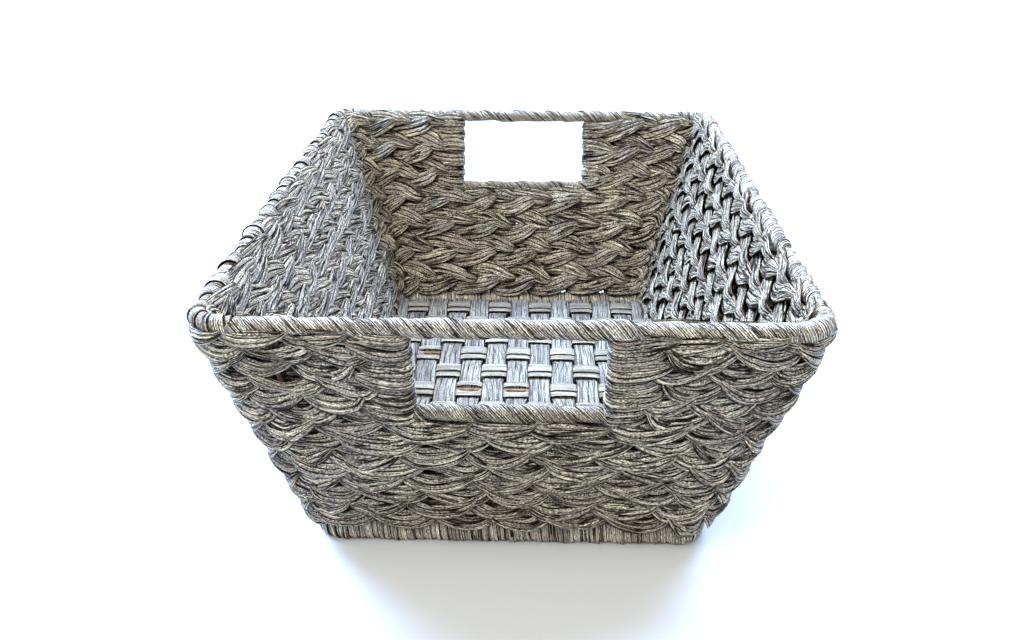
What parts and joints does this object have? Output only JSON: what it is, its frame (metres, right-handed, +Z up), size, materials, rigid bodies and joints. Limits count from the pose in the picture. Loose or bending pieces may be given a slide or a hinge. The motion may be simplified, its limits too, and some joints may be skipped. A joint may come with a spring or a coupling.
{
  "type": "poly rattan basket",
  "caption": "Open rectangular storage basket with sloping woven walls, a wound rim and base ring, and a handle opening in each short wall.",
  "frame": {"origin": "on the table plane, under the middle of the basket", "axes": "+X along the short sides that hold the handle openings, +Y from the front side to the back side along the long sides, +Z up"},
  "size_m": [0.3, 0.4, 0.1518],
  "materials": {
    "frame_wire": "satin golden brown lacquer on steel wire",
    "weave": "satin crinkled flat strip, speckled grey brown",
    "winding": "satin crinkled flat strip, paler on top",
    "floor_weave": "satin crinkled flat strip, pale grey"
  },
  "bodies": {
    "root": {"rim_wire": "frame_wire", "base_wire": "frame_wire", "corner_post_front_left": "frame_wire", "corner_post_front_right": "frame_wire", "corner_post_back_left": "frame_wire", "corner_post_back_right": "frame_wire", "handle_frame_front": "frame_wire", "handle_frame_back": "frame_wire", "stake_front_1": "frame_wire", "stake_front_2": "frame_wire", "stake_front_3": "frame_wire", "stake_front_4": "frame_wire", "stake_front_5": "frame_wire", "stake_front_6": "frame_wire", "stake_front_7": "frame_wire", "stake_back_1": "frame_wire", "stake_back_2": "frame_wire", "stake_back_3": "frame_wire", "stake_back_4": "frame_wire", "stake_back_5": "frame_wire", "stake_back_6": "frame_wire", "stake_back_7": "frame_wire", "cross_stake_1": "frame_wire", "cross_stake_2": "frame_wire", "cross_stake_3": "frame_wire", "cross_stake_4": "frame_wire", "cross_stake_5": "frame_wire", "cross_stake_6": "frame_wire", "cross_stake_7": "frame_wire", "cross_stake_8": "frame_wire", "cross_stake_9": "frame_wire", "cross_stake_10": "frame_wire", "cross_stake_11": "frame_wire", "rim_wrap_front": "winding", "rim_wrap_back": "winding", "rim_wrap_left": "winding", "rim_wrap_right": "winding", "rim_corner_wrap_front_left": "winding", "rim_corner_wrap_front_right": "winding", "rim_corner_wrap_back_left": "winding", "rim_corner_wrap_back_right": "winding", "base_wrap_front": "winding", "base_wrap_back": "winding", "base_wrap_left": "winding", "base_wrap_right": "winding", "handle_wrap_front": "winding", "handle_wrap_back": "winding", "weave_left": "weave", "weave_right": "weave", "weave_front_lower": "weave", "weave_front_beside_handle_left": "weave", "weave_front_beside_handle_right": "weave", "weave_back_lower": "weave", "weave_back_beside_handle_left": "weave", "weave_back_beside_handle_right": "weave", "floor_weave": "floor_weave"}
  },
  "joints": []
}
